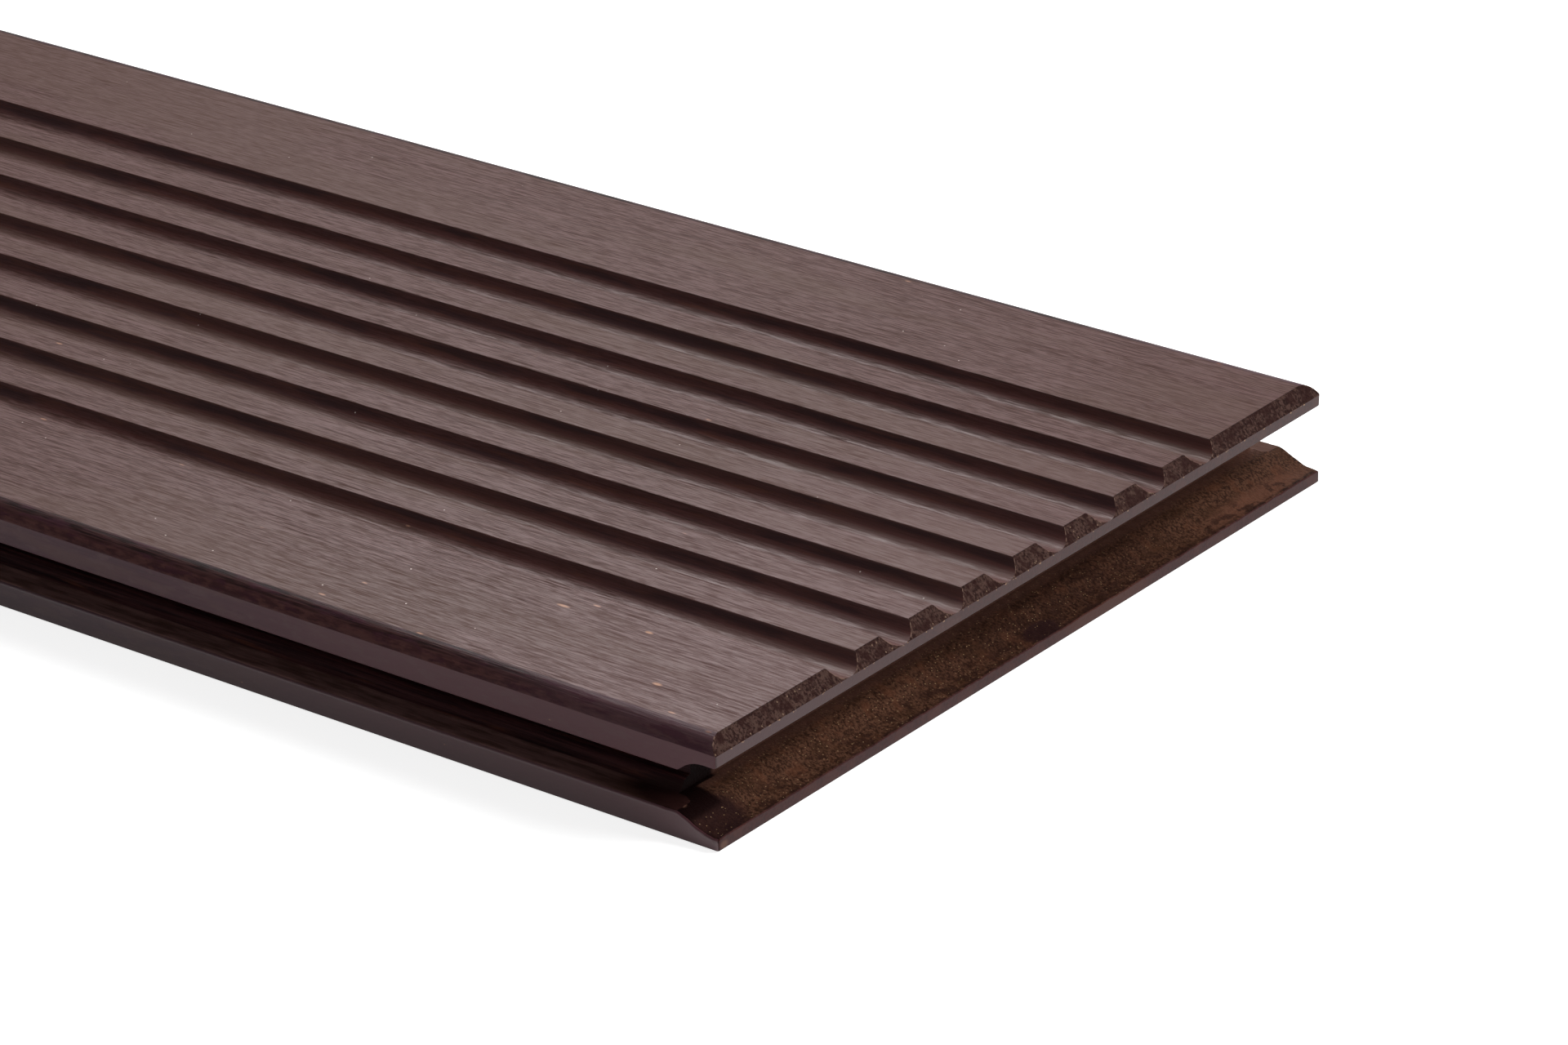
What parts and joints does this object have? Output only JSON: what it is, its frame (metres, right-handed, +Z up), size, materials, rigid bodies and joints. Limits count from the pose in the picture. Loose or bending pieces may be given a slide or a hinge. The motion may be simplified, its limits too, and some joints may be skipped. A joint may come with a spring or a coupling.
{
  "type": "decking board",
  "caption": "Dark fluted decking board lying flat: wide plain lands beside narrow flutes, a clip groove along each long edge, a joint groove and bevel across each end.",
  "frame": {"origin": "middle of the flat underside", "axes": "+X along the board, +Y across its width, +Z up out of the fluted face"},
  "size_m": [1.85, 0.178, 0.02],
  "materials": {
    "board": "dark brushed strand-woven bamboo, satin, with coarse end grain and golden flecks in the milled grooves"
  },
  "bodies": {
    "root": {"board": "board"}
  },
  "joints": []
}
